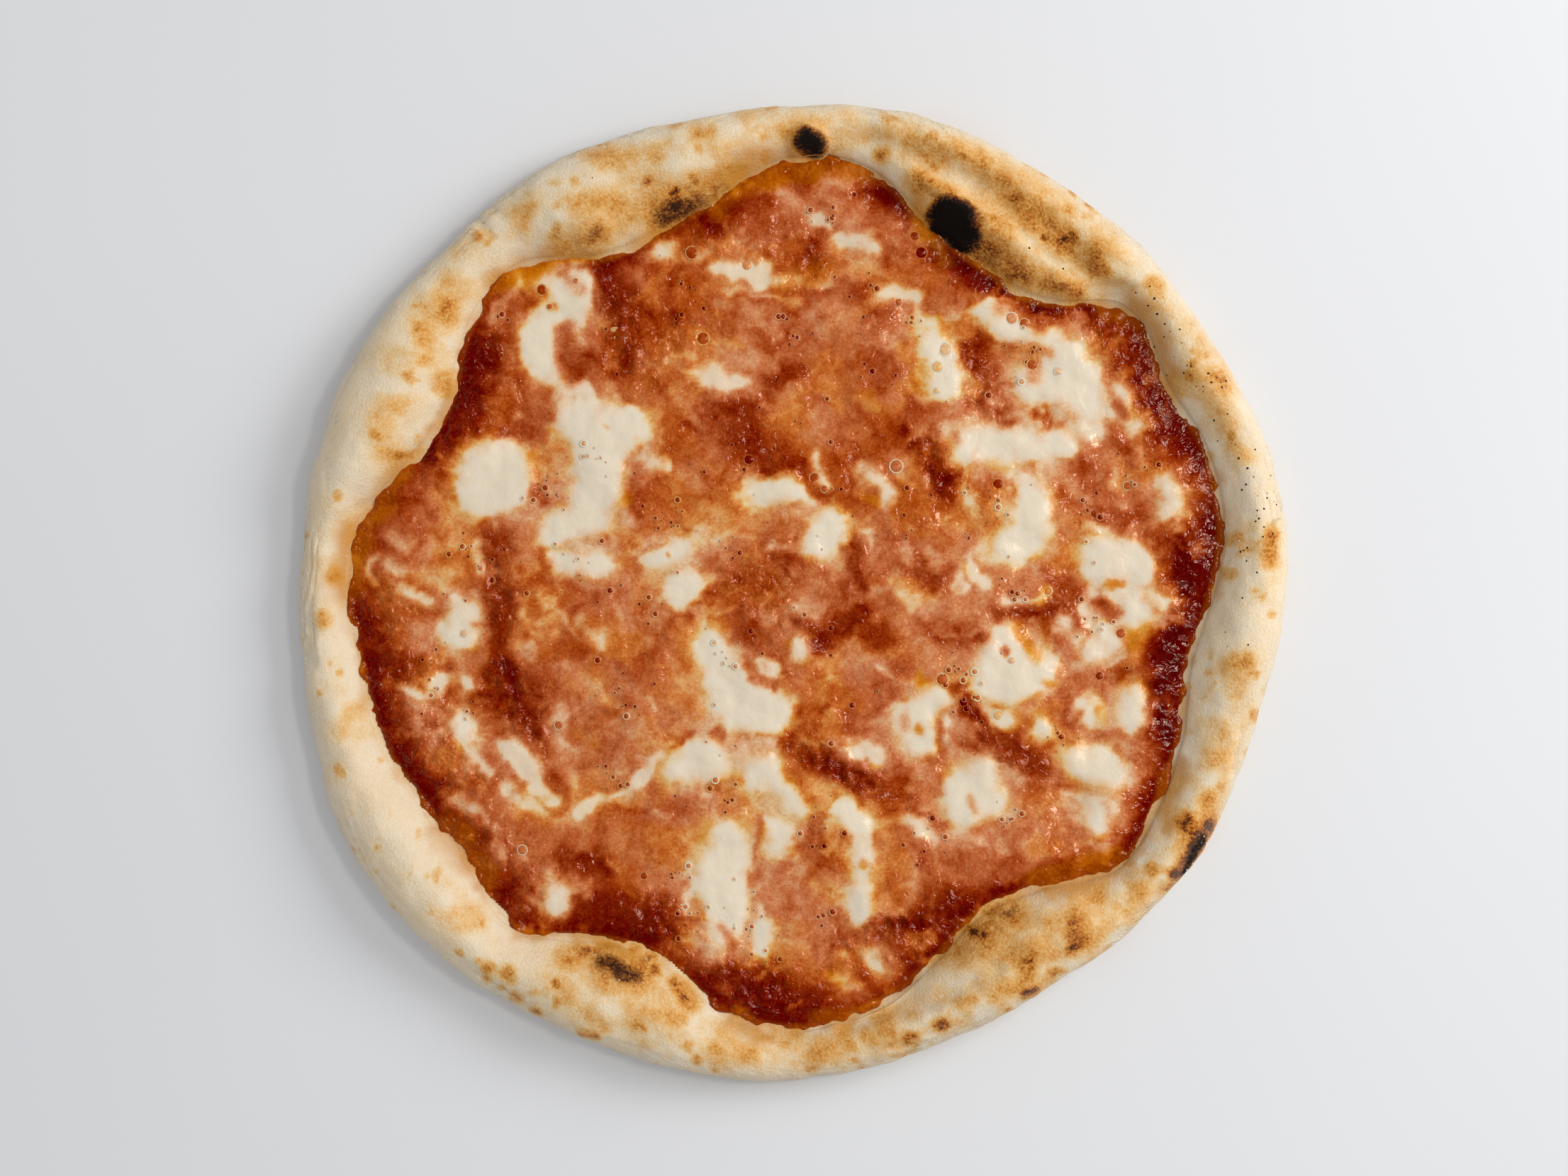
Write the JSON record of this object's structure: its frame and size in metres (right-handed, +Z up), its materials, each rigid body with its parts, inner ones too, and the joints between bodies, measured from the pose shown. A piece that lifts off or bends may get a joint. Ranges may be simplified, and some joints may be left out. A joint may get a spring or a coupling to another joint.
{
  "type": "margherita pizza",
  "caption": "Whole baked round pizza with a puffed charred rim, tomato sauce and melted white cheese pools.",
  "frame": {"origin": "middle of the flat underside, where the pizza rests", "axes": "+Z up out of the topping; +X to the right and +Y to the top of the reference picture"},
  "size_m": [0.3004, 0.2972, 0.02],
  "materials": {
    "baked_dough": "matte, mottled, charred in spots",
    "tomato_sauce": "wet, oily",
    "mozzarella": "soft, slightly wet"
  },
  "bodies": {
    "root": {"crust": "baked_dough", "tomato_sauce": "tomato_sauce", "mozzarella_01": "mozzarella", "mozzarella_02": "mozzarella", "mozzarella_03": "mozzarella", "mozzarella_04": "mozzarella", "mozzarella_05": "mozzarella", "mozzarella_06": "mozzarella", "mozzarella_07": "mozzarella", "mozzarella_08": "mozzarella", "mozzarella_09": "mozzarella", "mozzarella_10": "mozzarella", "mozzarella_11": "mozzarella", "mozzarella_12": "mozzarella", "mozzarella_13": "mozzarella", "mozzarella_14": "mozzarella", "mozzarella_15": "mozzarella", "mozzarella_16": "mozzarella", "mozzarella_17": "mozzarella", "mozzarella_18": "mozzarella", "mozzarella_19": "mozzarella", "mozzarella_20": "mozzarella", "mozzarella_21": "mozzarella", "mozzarella_22": "mozzarella", "mozzarella_23": "mozzarella", "mozzarella_24": "mozzarella", "mozzarella_25": "mozzarella", "mozzarella_26": "mozzarella", "mozzarella_27": "mozzarella", "mozzarella_28": "mozzarella", "mozzarella_29": "mozzarella", "mozzarella_30": "mozzarella", "mozzarella_31": "mozzarella", "mozzarella_32": "mozzarella", "mozzarella_33": "mozzarella", "mozzarella_34": "mozzarella", "mozzarella_35": "mozzarella", "mozzarella_36": "mozzarella"}
  },
  "joints": []
}
